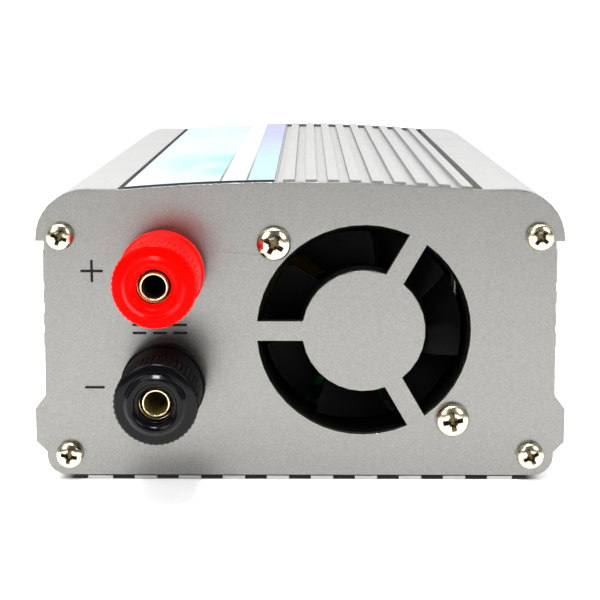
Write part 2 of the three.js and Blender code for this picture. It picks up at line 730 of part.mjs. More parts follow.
// lugAngle is the lug's direction in the (X, Z) plane, counted from +X towards +Z.
function buildPost({ color, z, opening, lugAngle, leadVia, leadEnd, plastic }) {
  addPart(`${color}_post_base`, postBase, plastic, POST.x, 0, z);
  addPart(`${color}_post_stud`, stud, brass, POST.x, 0, z);
  addPart(`${color}_cap_insert`, capInsert, brass, POST.x, -opening, z);
  addPart(`${color}_cap`, capShape, plastic, POST.x, -opening, z);
  addPart(`${color}_insulator`, insulator, blackPlastic, POST.x, 0, z);
  addPart(`${color}_nut`, nut, zincSteel, POST.x, 0, z);
  const direction = radians(lugAngle);
  addPart(`${color}_lug`, lugShape, copper, POST.x, 0, z).rotation.y = -direction;
  const alongLug = (distance) => [
    POST.x + distance * Math.cos(direction),
    barrelY,
    z + distance * Math.sin(direction),
  ];
  const insideBarrel = [1 + GAP, LUG.barrelLength / 2, LUG.barrelLength];
  const straightRun = insideBarrel.map((depth) => alongLug(LUG.reach + depth));
  const [endX, endY] = leadEnd;
  const drop = [[endX, endY, BOARD_TOP + 3], [endX, endY, BOARD_TOP + GAP]];
  addPart(`${color}_lead`, lead([...straightRun, ...leadVia, ...drop]), plastic);
}

// ---------------------------------------------------------------- circuit board and what stands on it

const boardSeat = BOARD_TOP + GAP;

function buildTransformer(label, y) {
  const { x, width, depth, height, legGap, windowLow, windowHigh } = TRANSFORMER;
  const [nearLeg, farLeg] = legGap;
  const core = cut(
    box(-width / 2, width / 2, -depth / 2, depth / 2, 0, height),
    box(-farLeg, -nearLeg, -depth, depth, windowLow, windowHigh),
    box(nearLeg, farLeg, -depth, depth, windowLow, windowHigh),
  );
  addPart(`transformer_core_${label}`, core, ferrite, x, y, boardSeat);
  const winding = roundedRectangle(0, 0, TRANSFORMER.coilWidth, TRANSFORMER.coilDepth, 4);
  const legHole = box(-nearLeg - GAP, nearLeg + GAP, -depth / 2 - GAP, depth / 2 + GAP, 0, height);
  const coil = cut(prismZ(winding, TRANSFORMER.coilLow, TRANSFORMER.coilHigh), legHole);
  addPart(`transformer_coil_${label}`, coil, tapeYellow, x, y, boardSeat);
}

function standingCan(radius, height) {
  const profile = [
    [0, 0],
    [radius - 0.4, 0],
    [radius, 0.5],
    [radius, height - 0.6],
    [radius - 0.6, height],
    [0, height],
  ];
  return turned(profile, 16).rotateX(Math.PI / 2);
}

function buildFuse(name, y) {
  const { halfWidth, halfDepth, low, high } = FUSE;
  const blades = [-1, 1].map((side) => {
    const middle = side * (halfWidth - 3.5);
    return box(middle - 2.5, middle + 2.5, -0.5, 0.5, 0, low + 1);
  });
  addPart(name, join(box(-halfWidth, halfWidth, -halfDepth, halfDepth, low, high), ...blades), fuseGreen,
    FUSE.x, y, boardSeat);
}

// A flat power transistor on three legs, with its tab on the +X side.
function transistorGeometry() {
  const { halfDepth, halfWidth, low, high, tabTop } = TRANSISTOR;
  const legs = [-2.5, 0, 2.5].map((y) => box(-0.5, 0.5, y - 0.5, y + 0.5, 0, low + 1));
  return join(
    box(-halfDepth, halfDepth, -halfWidth, halfWidth, low, high),
    box(halfDepth - 1.3, halfDepth, -halfWidth, halfWidth, high - 1, tabTop),
    ...legs,
  );
}

function buildTransistorRow(name, side) {
  const wallSide = WALL.inner - GAP - TRANSISTOR.halfDepth;
  TRANSISTOR.places.forEach((y, index) => {
    const label = `transistor_${name}_${index + 1}`;
    const transistor = addPart(label, transistorGeometry(), blackPlastic, side * wallSide, y, boardSeat);
    transistor.rotation.z = side > 0 ? 0 : Math.PI;
  });
  const half = CLAMP.thickness / 2;
  const barX = side * (wallSide - TRANSISTOR.halfDepth - GAP - half);
  const bar = box(-half, half, CLAMP.startY, CLAMP.endY, CLAMP.low, CLAMP.high);
  addPart(`clamp_bar_${name}`, bar, zincSteel, barX, 0, boardSeat);
}

function buildBoard() {
  const board = box(-BOARD.halfWidth, BOARD.halfWidth, BOARD.startY, BOARD.endY, BOARD.z, BOARD_TOP);
  addPart('circuit_board', board, boardGreen);
  buildTransformer('front', TRANSFORMER.frontY);
  buildTransformer('rear', TRANSFORMER.rearY);
  for (const { name, x, y, radius, height } of CANS) {
    addPart(name, standingCan(radius, height), sleeveBlue, x, y, boardSeat);
  }
  const { outer, inner, height } = INDUCTOR;
  const ring = turned([[inner, 0], [outer, 0], [outer, height], [inner, height]], 20).rotateX(Math.PI / 2);
  addPart('filter_inductor', ring, copper, INDUCTOR.x, INDUCTOR.y, boardSeat);
  buildFuse('fuse_front', FUSE.frontY);
  buildFuse('fuse_rear', FUSE.rearY);
  buildTransistorRow('left', -1);
  buildTransistorRow('right', 1);
}

// ---------------------------------------------------------------- rear fittings

function buildOutlet() {
  const face = CASE_LENGTH + OUTLET.flangeRise;
  const recessFloor = face - OUTLET.recessDepth;
  const back = recessFloor - OUTLET.floor;
  const cup = turned([
    [0, back],
    [OUTLET.body, back],
    [OUTLET.body, CASE_LENGTH + SEAT],
    [OUTLET.flange, CASE_LENGTH + SEAT],
    [OUTLET.flange, face - 0.6],
    [OUTLET.flange - 0.6, face],
    [OUTLET.recess, face],
    [OUTLET.recess, recessFloor],
    [0, recessFloor],
  ], 32);
  const pinX = OUTLET.pinSpacing / 2;
  const pinHole = rodY(OUTLET.pinHole, back - 1, recessFloor + 1, 16);
  const pinHoles = [-pinX, pinX].map((x) => pinHole.clone().translate(x, 0, 0));
  const slotLow = OUTLET.clipReach - OUTLET.clipThickness - GAP;
  const slotHigh = OUTLET.clipReach + GAP;
  const slotHalf = OUTLET.clipWidth / 2 + GAP;
  const clipSlots = [1, -1].map((side) => {
    const [low, high] = [side * slotLow, side * slotHigh].sort((a, b) => a - b);
    return box(-slotHalf, slotHalf, back - 1, recessFloor + 1, low, high);
  });
  addPart('outlet_body', cut(cup, ...pinHoles, ...clipSlots), blackPlastic, OUTLET.x, 0, OUTLET.z);

  const clipBack = back - GAP;
  const outer = OUTLET.clipReach;
  const inner = outer - OUTLET.clipThickness;
  const clipFront = face - 4;
  const rightArm = [
    [clipBack - OUTLET.clipThickness, outer],
    [clipFront, outer],
    [clipFront, inner],
    [clipBack, inner],
  ];
  const leftArm = rightArm.map(([y, z]) => [y, -z]).reverse();
  const strap = prismX(outline([...rightArm, ...leftArm]), -OUTLET.clipWidth / 2, OUTLET.clipWidth / 2);
  addPart('outlet_earth_clip', strap, brass, OUTLET.x, 0, OUTLET.z);

  const sleeve = turned([
    [OUTLET.pinHole - 0.3, clipBack - 8],
    [OUTLET.pinHole + 0.4, clipBack - 8],
    [OUTLET.pinHole + 0.4, clipBack],
    [OUTLET.pinHole - 0.3, clipBack],
  ], 16);
  addPart('outlet_contact_live', sleeve, brass, OUTLET.x - pinX, 0, OUTLET.z);
  addPart('outlet_contact_neutral', sleeve, brass, OUTLET.x + pinX, 0, OUTLET.z);
}

const bezelFace = CASE_LENGTH + SWITCH.bezelRise;

function buildSwitch() {
  const bodyBack = CASE_LENGTH - SWITCH.bodyDepth;
  const wellBack = CASE_LENGTH - SWITCH.wellDepth;
  const bezelOutline = roundedRectangle(0, 0, SWITCH.bezelWidth, SWITCH.bezelHeight, 1.2);
  const bodyOutline = roundedRectangle(0, 0, SWITCH.bodyWidth, SWITCH.bodyHeight, 0.5);
  const wellOutline = roundedRectangle(0, 0, SWITCH.openingWidth, SWITCH.openingHeight, 0.4);
  const bezel = prismY(bezelOutline, CASE_LENGTH + SEAT, bezelFace);
  const body = prismY(bodyOutline, bodyBack, bezelFace - 0.5);
  const well = prismY(wellOutline, wellBack, bezelFace + 1);
  const tabs = [-1, 1].map((side) => {
    const z = side * SWITCH.tabSpacing / 2;
    return box(-2.4, 2.4, bodyBack - SWITCH.tabLength, bodyBack + 1, z - 0.4, z + 0.4);
  });
  addPart('switch_housing', cut(join(bezel, body, ...tabs), well), darkGloss, SWITCH.x, 0, SWITCH.z);
}

// The rocker, about its pivot: +Y is outwards, and the face is a shallow V.
function buildRocker() {
  const { halfHeight, faceMiddle, faceEnd, stem } = ROCKER;
  const faceQuarter = faceMiddle + (faceEnd - faceMiddle) * 0.35;
  const profile = outline([
    [faceMiddle, 0],
    [faceQuarter, halfHeight / 2],
    [faceEnd, halfHeight],
    [-1, halfHeight],
    [-3, stem],
    [-3, -stem],
    [-1, -halfHeight],
    [faceEnd, -halfHeight],
    [faceQuarter, -halfHeight / 2],
  ]);
  const body = prismX(profile, -ROCKER.width / 2, ROCKER.width / 2);
  const pivotY = bezelFace - ROCKER.pivotDepth;
  const rocker = addPart('switch_rocker', body, redPlastic, SWITCH.x, pivotY, SWITCH.z);
  rocker.rotation.x = radians(ROCKER.tilt);
}

function buildLeds() {
  const collarFront = CASE_LENGTH - PLATE_THICKNESS - 1.2;
  const collarBack = collarFront - LED.collarDepth;
  const tip = CASE_LENGTH + LED.rise;
  const dome = arc(0, tip - LED.radius, LED.radius, 0, 90, 4).slice(0, -1);
  const lens = turned([
    [0, collarBack],
    [LED.radius + LED.collar, collarBack],
    [LED.radius + LED.collar, collarFront],
    [LED.radius, collarFront],
    ...dome,
    [0, tip],
  ], 14);
  addPart('power_led', lens, greenLens, LED.powerX, 0, LED.z);
  addPart('fault_led', lens, redLens, LED.faultX, 0, LED.z);
}

// ---------------------------------------------------------------- assembly

buildTopCover();
buildBottomTray();
buildFrontPlate();
buildRearPlate();
buildLabelPlate();
buildCornerScrews();
buildFanFrame();
buildFanStator();
buildFanRotor();
buildFanScrews();
buildPost({
  color: 'red',
  z: POST.redZ,
  opening: 0,
  lugAngle: -45,
  leadVia: [[-14.1, 8.2, 29.3], [-12.9, 12, 26]],
  leadEnd: [-14, 25],
  plastic: redPlastic,
});
buildPost({
  color: 'black',
  z: POST.blackZ,
  opening: CAP.blackOpening,
  lugAngle: 180,
  leadVia: [[-39.3, 8.4, 19.2], [-40.6, 12, 17.8]],
  leadEnd: [-38, 22],
  plastic: darkGloss,
});
buildBoard();
buildOutlet();
buildSwitch();
buildRocker();
buildLeds();

const bounds = new THREE.Box3().setFromObject(inverter);
inverter.position.y = -(bounds.min.y + bounds.max.y) / 2;

export default inverter;
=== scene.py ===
# The looks of a small power inverter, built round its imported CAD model.
# Metres, +Z up, and the front plate faces -Y. Sizes written in millimetres are turned into metres by mm().

import json
import math

import bmesh
import bpy
from mathutils import Matrix, Vector


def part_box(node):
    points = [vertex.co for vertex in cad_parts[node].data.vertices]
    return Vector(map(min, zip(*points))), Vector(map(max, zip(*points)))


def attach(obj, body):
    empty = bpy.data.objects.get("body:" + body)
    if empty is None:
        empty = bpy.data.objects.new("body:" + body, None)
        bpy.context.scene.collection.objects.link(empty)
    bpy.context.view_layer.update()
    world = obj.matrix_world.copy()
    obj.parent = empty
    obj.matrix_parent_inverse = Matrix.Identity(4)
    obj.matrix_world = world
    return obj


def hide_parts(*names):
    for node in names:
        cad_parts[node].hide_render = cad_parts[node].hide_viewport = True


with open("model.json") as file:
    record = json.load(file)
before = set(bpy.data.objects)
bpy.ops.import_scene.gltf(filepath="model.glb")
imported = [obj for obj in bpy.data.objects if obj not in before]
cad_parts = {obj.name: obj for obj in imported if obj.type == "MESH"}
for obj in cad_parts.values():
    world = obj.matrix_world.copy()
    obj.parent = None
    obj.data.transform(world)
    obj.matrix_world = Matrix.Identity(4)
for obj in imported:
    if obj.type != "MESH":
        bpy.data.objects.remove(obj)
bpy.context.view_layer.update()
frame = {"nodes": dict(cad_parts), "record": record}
nodes = frame["nodes"]
record = frame["record"]


def mm(value):
    return value * 0.001


# ---------------------------------------------------------------- places taken from the frame

PLATE_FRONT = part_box("front_plate")[0].y
REAR_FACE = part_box("rear_plate")[1].y


def axis_of(node):
    """(x, z) of a round node's axis, which runs along Y."""
    low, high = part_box(node)
    return (low.x + high.x) / 2, (low.z + high.z) / 2


# ---------------------------------------------------------------- camera, light and floor

LENS = 86.1
CAMERA_PLACE = (0.001413, -0.321893, 0.08333)
CAMERA_TILT = 79.036
CAMERA_TURN = 0.314

camera_data = bpy.data.cameras.new("camera")
camera_data.lens = LENS
camera_data.clip_start = 0.01
camera = bpy.data.objects.new("camera", camera_data)
camera.location = CAMERA_PLACE
camera.rotation_euler = (math.radians(CAMERA_TILT), 0, math.radians(CAMERA_TURN))
bpy.context.scene.collection.objects.link(camera)
bpy.context.scene.camera = camera
bpy.context.scene.view_settings.view_transform = "Standard"


def add_softbox(name, place, aim, size, power):
    data = bpy.data.lights.new(name, "AREA")
    data.shape = "RECTANGLE"
    data.size, data.size_y = size
    data.energy = power
    light = bpy.data.objects.new(name, data)
    light.location = place
    light.rotation_euler = (Vector(aim) - Vector(place)).to_track_quat("-Z", "Y").to_euler()
    bpy.context.scene.collection.objects.link(light)


# Two narrow strips overhead give the paired highlight on each cap's crown.
CAPS_AIM = (-0.02, -0.02, 0.02)
STRIP_SIZE = (0.12, 0.03)
STRIP_POWER = 1.2
FRONT_AIM = (0, -0.05, 0.03)
FRONT_SIZE = (0.30, 0.40)

add_softbox("overhead_front", (-0.035, -0.23, 0.42), CAPS_AIM, STRIP_SIZE, STRIP_POWER)
add_softbox("overhead_back", (-0.035, -0.16, 0.46), CAPS_AIM, STRIP_SIZE, STRIP_POWER)
add_softbox("front_left", (-0.45, -0.75, 0.45), FRONT_AIM, FRONT_SIZE, 3.0)
add_softbox("front_right", (0.50, -0.75, 0.45), FRONT_AIM, FRONT_SIZE, 2.3)

SKY_POWER = 2.25
SKY_SPREAD = 70
SKY_TILT = (-9, -8, 0)

sky_data = bpy.data.lights.new("soft_sky", "SUN")
sky_data.energy = SKY_POWER
sky_data.angle = math.radians(SKY_SPREAD)
sky = bpy.data.objects.new("soft_sky", sky_data)
sky.rotation_euler = [math.radians(turn) for turn in SKY_TILT]
bpy.context.scene.collection.objects.link(sky)

FRONT_LIGHT = 0.07
BACK_LIGHT = 1.06
LIGHT_BLEND = 0.5


def add_world():
    """A studio that is white behind the object and dimmer in front of it."""
    world = bpy.data.worlds.new("studio")
    world.use_nodes = True
    tree = world.node_tree
    direction = tree.nodes.new("ShaderNodeTexCoord")
    parts = tree.nodes.new("ShaderNodeSeparateXYZ")
    remap = tree.nodes.new("ShaderNodeMapRange")
    tree.links.new(direction.outputs["Generated"], parts.inputs["Vector"])
    tree.links.new(parts.outputs["Y"], remap.inputs["Value"])
    remap.inputs["From Min"].default_value = -LIGHT_BLEND
    remap.inputs["From Max"].default_value = LIGHT_BLEND
    remap.inputs["To Min"].default_value = FRONT_LIGHT
    remap.inputs["To Max"].default_value = BACK_LIGHT
    tree.links.new(remap.outputs["Result"], tree.nodes["Background"].inputs["Strength"])
    tree.nodes["Background"].inputs["Color"].default_value = (1, 1, 1, 1)
    bpy.context.scene.world = world


add_world()


# ---------------------------------------------------------------- materials


class Look:
    """A Principled material with helpers that add noise-driven colour, roughness and relief."""

    def __init__(self, name, roughness, metallic=0.0, **sockets):
        self.material = bpy.data.materials.new(name)
        self.material.use_nodes = True
        self.tree = self.material.node_tree
        self.shader = self.tree.nodes["Principled BSDF"]
        self.place = self.tree.nodes.new("ShaderNodeTexCoord").outputs["Object"]
        self.relief_socket = None
        self.shader.inputs["Roughness"].default_value = roughness
        self.shader.inputs["Metallic"].default_value = metallic
        for socket, value in sockets.items():
            self.shader.inputs[socket.replace("_", " ")].default_value = value

    def node(self, kind, **settings):
        made = self.tree.nodes.new(kind)
        for key, value in settings.items():
            setattr(made, key, value)
        return made

    def link(self, source, target):
        self.tree.links.new(source, target)

    def noise(self, grain, stretch=(1, 1, 1), detail=2.0):
        """Noise with a grain of that many metres, drawn out along each axis by stretch."""
        mapping = self.node("ShaderNodeMapping")
        mapping.inputs["Scale"].default_value = [1 / (grain * s) for s in stretch]
        self.link(self.place, mapping.inputs["Vector"])
        texture = self.node("ShaderNodeTexNoise")
        texture.inputs["Scale"].default_value = 1.0
        texture.inputs["Detail"].default_value = detail
        self.link(mapping.outputs["Vector"], texture.inputs["Vector"])
        return texture.outputs["Fac"]

    def scaled(self, value, low, high, from_low=0.3, from_high=0.7):
        remap = self.node("ShaderNodeMapRange")
        self.link(value, remap.inputs["Value"])
        remap.inputs["From Min"].default_value = from_low
        remap.inputs["From Max"].default_value = from_high
        remap.inputs["To Min"].default_value = low
        remap.inputs["To Max"].default_value = high
        return remap.outputs["Result"]

    def times(self, first, second):
        product = self.node("ShaderNodeMath", operation="MULTIPLY")
        self.link(first, product.inputs[0])
        self.link(second, product.inputs[1])
        return product.outputs["Value"]

    def band(self, value, low, high, soft):
        """1 where value is from low to high, 0 outside, with soft edges."""
        rise = self.scaled(value, 0, 1, low - soft, low + soft)
        fall = self.scaled(value, 1, 0, high - soft, high + soft)
        return self.times(rise, fall)

    def mix(self, factor, first, second):
        """A colour between first and second; each is a socket or a plain colour."""
        mixer = self.node("ShaderNodeMix", data_type="RGBA")
        self.link(factor, mixer.inputs["Factor"])
        for socket, value in ((mixer.inputs[6], first), (mixer.inputs[7], second)):
            if isinstance(value, (tuple, list)):
                socket.default_value = (*value, 1)
            else:
                self.link(value, socket)
        return mixer.outputs[2]

    def colour(self, value):
        self.link(value, self.shader.inputs["Base Color"])

    def varied_roughness(self, value, spread):
        middle = self.shader.inputs["Roughness"].default_value
        self.link(self.scaled(value, middle - spread, middle + spread), self.shader.inputs["Roughness"])

    def relief(self, value, height):
        bump = self.node("ShaderNodeBump")
        bump.inputs["Strength"].default_value = 1.0
        bump.inputs["Distance"].default_value = height
        self.link(value, bump.inputs["Height"])
        if self.relief_socket is not None:
            self.link(self.relief_socket, bump.inputs["Normal"])
        self.relief_socket = bump.outputs["Normal"]
        self.link(self.relief_socket, self.shader.inputs["Normal"])


FLOOR_HALF = 6.0
FLOOR_GLOW = 0.42
FLOOR_TONE = (0.93, 0.93, 0.93)
# Painted shadow: the floor's colour and glow where the tray stands over it.
PAINTED_SHADOW_UNDER_TRAY = (0.04, 0.04, 0.04)


def add_floor():
    """A plain pale floor that glows faintly, like a light table, with a painted shadow under the tray."""
    mesh = bpy.data.meshes.new("floor")
    half = FLOOR_HALF
    corners = [(-half, -half, 0), (half, -half, 0), (half, half, 0), (-half, half, 0)]
    mesh.from_pydata(corners, [], [(0, 1, 2, 3)])
    floor = bpy.data.objects.new("floor", mesh)
    bpy.context.scene.collection.objects.link(floor)
    paper = Look("floor_paper", 0.8, Emission_Strength=FLOOR_GLOW)
    parts = paper.node("ShaderNodeSeparateXYZ")
    paper.link(paper.place, parts.inputs["Vector"])
    low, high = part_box("bottom_tray")
    # Painted shadow: the floor is dark where the tray stands over it.
    painted_shadow_mask = paper.times(paper.band(parts.outputs["X"], low.x + mm(5), high.x - mm(5), mm(1.5)),
                          paper.band(parts.outputs["Y"], low.y + mm(0.3), high.y, mm(0.3)))
    tone = paper.mix(painted_shadow_mask, FLOOR_TONE, PAINTED_SHADOW_UNDER_TRAY)
    paper.colour(tone)
    paper.link(tone, paper.shader.inputs["Emission Color"])
    mesh.materials.append(paper.material)


add_floor()


def shade(colour, amount):
    return tuple(min(1.0, max(0.0, channel * amount)) for channel in colour)


def grained_look(name, colour, roughness, metallic=0.0, grain=0.3, stretch=(1, 1, 1), spread=0.08,
                 rough_spread=0.05, height=4e-6, smudge=0.05, **sockets):
    """A surface with fine grain, and wide faint smudges that change its gloss and tone."""
    look = Look(name, roughness, metallic, **sockets)
    fine = look.noise(mm(grain), stretch, 3.0)
    wide = look.noise(mm(18), (1, 1, 1), 2.0)
    tone = look.mix(look.scaled(fine, 0, 1), shade(colour, 1 - spread), shade(colour, 1 + spread))
    stained = look.mix(look.scaled(wide, 0, smudge * 4, 0.45, 0.75), tone, shade(colour, 1 - smudge * 3))
    look.colour(stained)
    look.varied_roughness(wide, rough_spread)
    look.relief(fine, height)
    return look


RED_PLASTIC = (0.74, 0.001, 0.0005)
RED_SHEEN = (1.0, 0.06, 0.05, 1.0)

looks = {
    "case_aluminium": grained_look(
        "case_aluminium", (0.37, 0.37, 0.365), 0.42, 0.55, grain=0.35, stretch=(1, 60, 1), spread=0.05,
        height=5e-6),
    "plate_silver": grained_look(
        "plate_silver", (0.200, 0.199, 0.188), 0.29, 0.95, grain=0.24, spread=0.13, rough_spread=0.01,
        height=9e-6, smudge=0.01),
    "screw_zinc": grained_look(
        "screw_zinc", (0.66, 0.61, 0.44), 0.19, 1.0, grain=0.2, spread=0.06, height=3e-6),
    "plastic_black": grained_look(
        "plastic_black", (0.0011, 0.0011, 0.0012), 0.6, grain=0.4, spread=0.2, height=8e-6,
        Specular_IOR_Level=0.04),
    "plastic_red": grained_look(
        "plastic_red", RED_PLASTIC, 0.14, grain=1.5, spread=0.04, height=2e-6, smudge=0.02,
        Specular_IOR_Level=0.22, Specular_Tint=RED_SHEEN),
    "plastic_dark_gloss": grained_look(
        "plastic_dark_gloss", (0.002, 0.002, 0.0026), 0.13, grain=1.2, spread=0.1, height=2e-6,
        Specular_IOR_Level=0.13),
    "brass_bright": grained_look(
        "brass_bright", (0.86, 0.70, 0.40), 0.20, 1.0, grain=0.15, stretch=(1, 8, 1), height=3e-6),
    "copper_tinned": grained_look(
        "copper_tinned", (0.76, 0.52, 0.38), 0.33, 1.0, grain=0.25, stretch=(1, 6, 1), height=6e-6),
    "ferrite_grey": grained_look(
        "ferrite_grey", (0.045, 0.046, 0.05), 0.62, grain=0.25, spread=0.3, height=1.5e-5),
    "board_green": grained_look(
        "board_green", (0.02, 0.13, 0.055), 0.34, grain=0.8, spread=0.15, height=6e-6, Coat_Weight=0.3),
    "tape_yellow": grained_look(
        "tape_yellow", (0.75, 0.52, 0.10), 0.42, grain=0.5, stretch=(1, 1, 0.2), spread=0.1, height=2e-5),
    "sleeve_blue": grained_look(
        "sleeve_blue", (0.02, 0.05, 0.20), 0.28, grain=0.6, stretch=(1, 1, 4), spread=0.12, height=4e-6),
    "fuse_green": grained_look(
        "fuse_green", (0.10, 0.55, 0.14), 0.18, grain=0.8, height=3e-6, Transmission_Weight=0.35),
    "lens_green": grained_look(
        "lens_green", (0.10, 0.72, 0.22), 0.12, grain=0.8, height=2e-6, Transmission_Weight=0.45),
    "lens_red": grained_look(
        "lens_red", (0.78, 0.05, 0.03), 0.12, grain=0.8, height=2e-6, Transmission_Weight=0.45),
}

# Looks that aren't slots of the record: painted shade for the inside of the sockets and of the screws'
# recesses, and the caps' matt sides.
# Painted shade inside the post sockets, deeper for the red post.
looks["brass_bore_painted_shade"] = grained_look(
    "brass_bore_painted_shade", (0.30, 0.25, 0.09), 0.5, 0.8, grain=0.3, spread=0.2, height=8e-6, Specular_IOR_Level=0.2)
looks["brass_bore_deep_painted_shade"] = grained_look(
    "brass_bore_deep_painted_shade", (0.03, 0.018, 0.015), 0.6, 0.5, grain=0.3, spread=0.3, height=8e-6,
    Specular_IOR_Level=0.1)
looks["red_grip_side"] = grained_look(
    "red_grip_side", RED_PLASTIC, 0.35, grain=1.5, spread=0.06, height=4e-6, smudge=0.02,
    Specular_IOR_Level=0.08, Specular_Tint=RED_SHEEN)
looks["black_grip_side"] = grained_look(
    "black_grip_side", (0.0017, 0.0017, 0.002), 0.45, grain=1.2, spread=0.15, height=6e-6,
    Specular_IOR_Level=0.03)
# Painted shade inside the screws' cross recesses.
looks["screw_recess_painted_shade"] = grained_look(
    "screw_recess_painted_shade", (0.16, 0.12, 0.06), 0.45, 0.9, grain=0.15, spread=0.3, height=8e-6)

WHITE_STRIPE = (-14.1, -9.75)
STRIPE_LINE = 0.42
LABEL_FRONT_SHADE = 0.4
PRINT_SOFTNESS = 0.03
CLOUD_ACROSS = (-23, -10)
CLOUD_ALONG = (7, 52)
# The 'edge' colour is painted shadow along the label's front edge, and the others are print.
LABEL_COLOURS = {
    "ground": (0.35, 0.43, 0.44), "cloud": (0.15, 0.36, 0.375), "blush": (0.46, 0.32, 0.37),
    "stripe": (0.42, 0.43, 0.44), "strip_front": (0.23, 0.40, 0.42), "strip_rear": (0.23, 0.24, 0.44),
    "line": (0.04, 0.05, 0.055), "edge": (0.03, 0.04, 0.05),
}


def label_look():
    """A glossy printed film: a pale clouded ground, a white stripe with thin lines, a blue strip, and
    painted shadow along its front edge.
    """
    look = Look("label_film", 0.3, 0.0, Specular_IOR_Level=0.35)
    parts = look.node("ShaderNodeSeparateXYZ")
    look.link(look.place, parts.inputs["Vector"])
    across, along = parts.outputs["X"], parts.outputs["Y"]
    front_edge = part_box("label_plate")[0].y
    soft = mm(PRINT_SOFTNESS)
    left, right = mm(WHITE_STRIPE[0]), mm(WHITE_STRIPE[1])
    line = mm(STRIPE_LINE)

    def tint(mask, below, name):
        return look.mix(mask, below, LABEL_COLOURS[name])

    (patch_left, patch_right), (patch_front, patch_rear) = CLOUD_ACROSS, CLOUD_ALONG
    patch = look.times(
        look.band(across, mm(patch_left), mm(patch_right), mm(4)),
        look.band(along, front_edge + mm(patch_front), front_edge + mm(patch_rear), mm(6)))
    wisps = look.scaled(look.noise(mm(9), (1, 3, 1), 1.0), 0.12, 1.0, 0.38, 0.62)
    veil = look.scaled(look.noise(mm(16), (1, 3, 1), 1.0), 0, 0.45, 0.5, 0.7)
    clouded = tint(look.times(patch, wisps), tint(veil, LABEL_COLOURS["ground"], "cloud"), "cloud")
    blush = look.scaled(look.noise(mm(7), (1.4, 3, 1), 1.0), 0, 0.7, 0.6, 0.75)
    ground = tint(blush, clouded, "blush")
    rearward = look.scaled(along, 0, 1, front_edge + mm(15), REAR_FACE - mm(40))
    strip = tint(rearward, LABEL_COLOURS["strip_front"], "strip_rear")
    colour = look.mix(look.band(across, right, 1.0, soft), ground, strip)
    colour = tint(look.band(across, left, right, soft), colour, "stripe")
    fading = look.scaled(along, 1, 0.15, front_edge + mm(8), front_edge + mm(60))
    for start in (left - line, right):
        colour = tint(look.times(look.band(across, start, start + line, soft), fading), colour, "line")
    # Painted shadow: a dark band over the film's front edge, where the gap under the label is in shade.
    front_shade_band = look.band(along, front_edge - mm(1), front_edge + mm(LABEL_FRONT_SHADE), soft)
    colour = tint(front_shade_band, colour, "edge")
    look.colour(colour)
    look.varied_roughness(look.noise(mm(9)), 0.05)
    look.relief(look.noise(mm(0.5)), 4e-7)
    return look


looks["label_film"] = label_look()
ink = grained_look("printed_ink", (0.004, 0.004, 0.005), 0.55, grain=0.2, spread=0.3, height=6e-6,
                   Specular_IOR_Level=0.15)

# ---------------------------------------------------------------- mesh tools


def add_piece(name, mesh, body, slot=None, replaces=()):
    piece = bpy.data.objects.new(name, mesh)
    bpy.context.scene.collection.objects.link(piece)
    if slot:
        mesh.materials.append(looks[slot].material)
    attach(piece, body)
    if replaces:
        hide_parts(*replaces)
    return piece


def smooth_to_angle(mesh, degrees=32):
    for polygon in mesh.polygons:
        polygon.use_smooth = True
    mesh.set_sharp_from_angle(angle=math.radians(degrees))


def rounded(profile, steps=5):
    """A profile of (radius, y, corner radius) points, with each corner turned into an arc."""
    points = []
    for index, (radius, y, corner) in enumerate(profile):
        here = Vector((radius, y))
        if corner <= 0 or index in (0, len(profile) - 1):
            points.append(here)
            continue
        before = Vector(profile[index - 1][:2]) - here
        after = Vector(profile[index + 1][:2]) - here
        reach = min(corner, before.length * 0.48, after.length * 0.48)
        start, end = here + before.normalized() * reach, here + after.normalized() * reach
        for step in range(steps + 1):
            t = step / steps
            points.append((1 - t) ** 2 * start + 2 * t * (1 - t) * here + t ** 2 * end)
    return points


def lathe(name, profile, axis, segments=64, closed=True, tooth=None):
    """A mesh turned about the line along Y through axis = (x, z).

    profile holds (radius, y) in millimetres, with y from the front plate's outer face.
    tooth(angle, radius, y) may change the radius, for a knurl.
    """
    mesh = bpy.data.meshes.new(name)
    work = bmesh.new()
    rings = []
    for radius, y in profile:
        if radius < 1e-6:
            rings.append([work.verts.new((axis[0], PLATE_FRONT + mm(y), axis[1]))])
            continue
        ring = []
        for segment in range(segments):
            angle = 2 * math.pi * segment / segments
            reach = mm(tooth(angle, radius, y) if tooth else radius)
            ring.append(work.verts.new((
                axis[0] + reach * math.cos(angle), PLATE_FRONT + mm(y), axis[1] + reach * math.sin(angle))))
        rings.append(ring)
    pairs = list(zip(rings, rings[1:]))
    if closed and len(rings[0]) > 1 and len(rings[-1]) > 1:
        pairs.append((rings[-1], rings[0]))
    for first, second in pairs:
        for segment in range(segments):
            after = (segment + 1) % segments
            if len(first) == 1:
                work.faces.new((first[0], second[after], second[segment]))
            elif len(second) == 1:
                work.faces.new((first[segment], first[after], second[0]))
            else:
                work.faces.new((first[segment], first[after], second[after], second[segment]))
    bmesh.ops.recalc_face_normals(work, faces=work.faces)
    work.to_mesh(mesh)
    work.free()
    smooth_to_angle(mesh)
    return mesh


def slab(name, outline, front, back):
    """A thin closed prism: outline holds (x, z) in metres, front and back are y in metres."""
    mesh = bpy.data.meshes.new(name)
    count = len(outline)
    vertices = [(x, front, z) for x, z in outline] + [(x, back, z) for x, z in outline]
    sides = [(i, (i + 1) % count, count + (i + 1) % count, count + i) for i in range(count)]
    faces = [tuple(range(count)), tuple(reversed(range(count, 2 * count))), *sides]
    mesh.from_pydata(vertices, [], faces)
    work = bmesh.new()
    work.from_mesh(mesh)
    bmesh.ops.recalc_face_normals(work, faces=work.faces)
    work.to_mesh(mesh)
    work.free()
    return mesh


# ---------------------------------------------------------------- CAD nodes that stay

